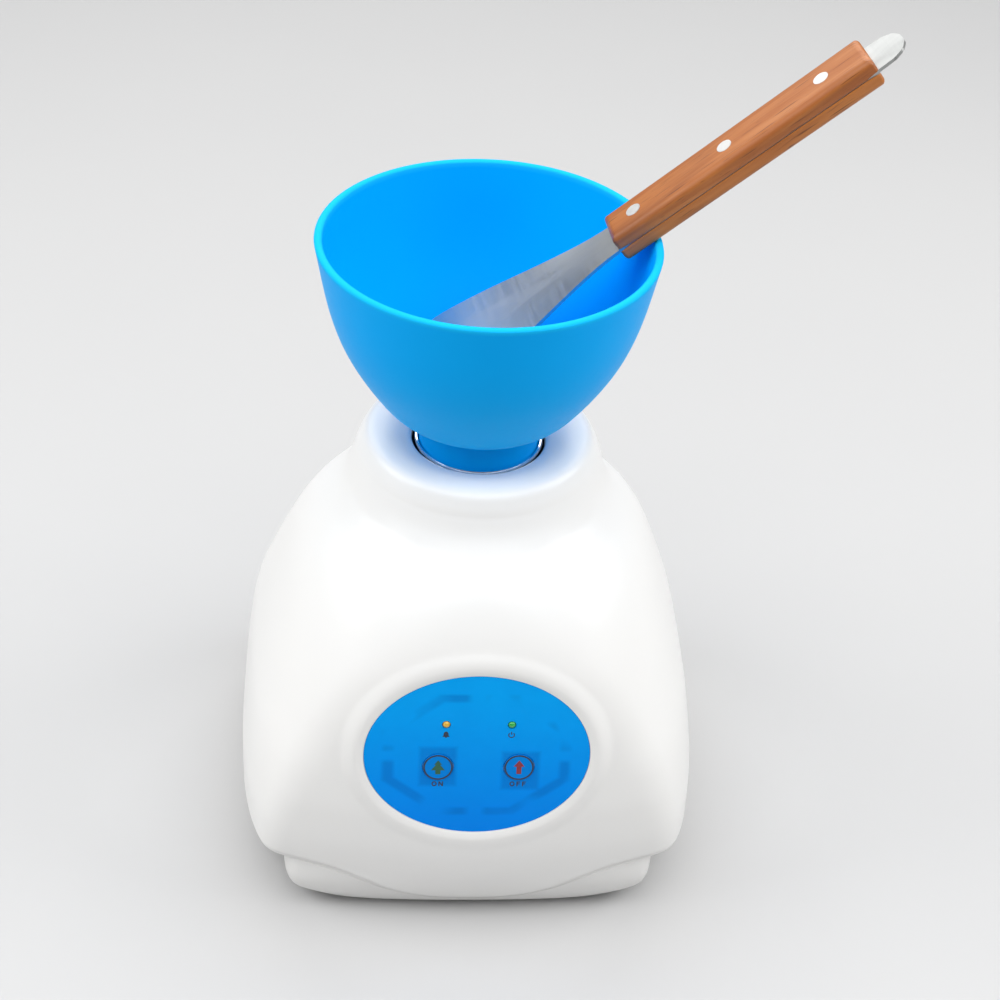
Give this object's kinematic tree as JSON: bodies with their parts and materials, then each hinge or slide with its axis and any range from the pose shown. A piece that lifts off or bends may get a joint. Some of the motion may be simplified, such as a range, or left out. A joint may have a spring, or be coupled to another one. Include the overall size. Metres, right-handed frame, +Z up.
{
  "type": "dental impression mixer",
  "caption": "Bench mixer for dental impression material: bell-shaped housing with key panel, belt-driven spinning chuck, soft mixing bowl and wooden-handled spatula.",
  "frame": {"origin": "spindle and bowl axis at the bench plane under the feet", "axes": "+Z up along the spindle, -Y towards the key panel (front), +X to the right seen from the front"},
  "size_m": [0.2423, 0.1925, 0.3467],
  "materials": {
    "white_shell": "glossy moulded ABS, white",
    "white_base": "moulded ABS, white, slightly less glossy",
    "feet_rubber": "soft rubber, matt",
    "zinc_steel": "zinc plated steel",
    "aluminium": "turned aluminium",
    "chrome": "polished chrome",
    "bearing_steel": "ground bearing steel",
    "belt_rubber": "ribbed drive belt rubber, black",
    "black_plastic": "black moulded plastic",
    "motor_steel": "deep drawn steel can",
    "ferrite": "sintered ferrite magnet",
    "copper": "wound copper and laminations",
    "pcb_green": "solder mask green board",
    "panel_film": "blue printed polyester film",
    "key_film": "blue film dome key",
    "amber_lens": "amber LED lens",
    "green_lens": "green LED lens",
    "brass": "plated brass",
    "fuse_glass": "glass fuse tube with nickel caps",
    "bowl_rubber": "soft flexible rubber, bright blue, satin",
    "blade_steel": "brushed and polished stainless steel",
    "handle_wood": "red-brown hardwood, oiled",
    "rivet_aluminium": "peened aluminium"
  },
  "bodies": {
    "housing": {"upper_shell": "white_shell", "base_tray": "white_base", "rubber_feet": "feet_rubber", "shell_screws": "zinc_steel", "frame_posts": "zinc_steel", "plate_screws": "zinc_steel", "post_screws": "zinc_steel", "support_plate": "zinc_steel", "bearing_housing": "aluminium", "housing_circlips": "bearing_steel", "housing_screws": "zinc_steel", "bearing_outer_races": "bearing_steel", "motor_can": "motor_steel", "motor_front_bell": "aluminium", "motor_magnets": "ferrite", "motor_end_cap": "black_plastic", "motor_screws": "zinc_steel", "drive_belt": "belt_rubber", "panel_overlay": "panel_film", "alarm_lamp": "amber_lens", "power_lamp": "green_lens", "control_board": "pcb_green", "tact_switches": "black_plastic", "board_screws": "zinc_steel", "board_chips": "black_plastic", "buzzer": "black_plastic", "ribbon_socket": "black_plastic", "power_board": "pcb_green", "power_board_screws": "zinc_steel", "transformer": "copper", "capacitors": "black_plastic", "heat_sink": "aluminium", "mains_inlet": "black_plastic", "inlet_pins": "brass", "switch_frame": "black_plastic"},
    "spindle": {"spindle_shaft": "bearing_steel", "shaft_circlip": "bearing_steel", "driven_pulley": "aluminium", "pulley_grub_screw": "bearing_steel", "chuck_cup": "aluminium", "chuck_ring": "chrome", "chuck_screw": "zinc_steel", "bearing_inner_races": "bearing_steel", "bearing_balls": "chrome"},
    "motor_rotor": {"motor_rotor": "copper", "drive_pulley": "aluminium"},
    "bowl": {"mixing_bowl": "bowl_rubber"},
    "spatula": {"spatula_blade": "blade_steel", "handle_scale_upper": "handle_wood", "handle_scale_lower": "handle_wood", "handle_rivets": "rivet_aluminium"},
    "start_key": {"start_key": "key_film"},
    "stop_key": {"stop_key": "key_film"},
    "power_rocker": {"power_rocker": "black_plastic"},
    "fuse_drawer": {"fuse_drawer": "black_plastic", "fuse": "fuse_glass"}
  },
  "joints": [
    {"name": "spindle_spin", "type": "hinge", "parent": "housing", "child": "spindle", "pos_m": [0, 0, 0.1], "axis": [0, 0, 1], "continuous": true},
    {"name": "motor_spin", "type": "hinge", "parent": "housing", "child": "motor_rotor", "pos_m": [0, 0.046, 0.1], "axis": [0, 0, 1], "continuous": true},
    {"name": "bowl_lift", "type": "slide", "parent": "spindle", "child": "bowl", "axis": [0, 0, 1], "range_m": [0, 0.06]},
    {"name": "spatula_lift", "type": "slide", "parent": "bowl", "child": "spatula", "axis": [0.744, 0.0729, 0.6642], "range_m": [0, 0.15]},
    {"name": "start_key_press", "type": "slide", "parent": "housing", "child": "start_key", "axis": [0, 0.9848, -0.1736], "range_m": [0, 0.0006], "stiffness_N_per_m": 500},
    {"name": "stop_key_press", "type": "slide", "parent": "housing", "child": "stop_key", "axis": [0, 0.9848, -0.1736], "range_m": [0, 0.0006], "stiffness_N_per_m": 500},
    {"name": "power_rocker_tilt", "type": "hinge", "parent": "housing", "child": "power_rocker", "pos_m": [0.026, 0.09, 0.035], "axis": [1, 0, 0], "range_deg": [0, 16]},
    {"name": "fuse_drawer_pull", "type": "slide", "parent": "housing", "child": "fuse_drawer", "axis": [0, 1, 0], "range_m": [0, 0.02]}
  ],
  "couplings": [
    {"joint": "motor_spin", "follows": "spindle_spin", "ratio": 3.5}
  ]
}
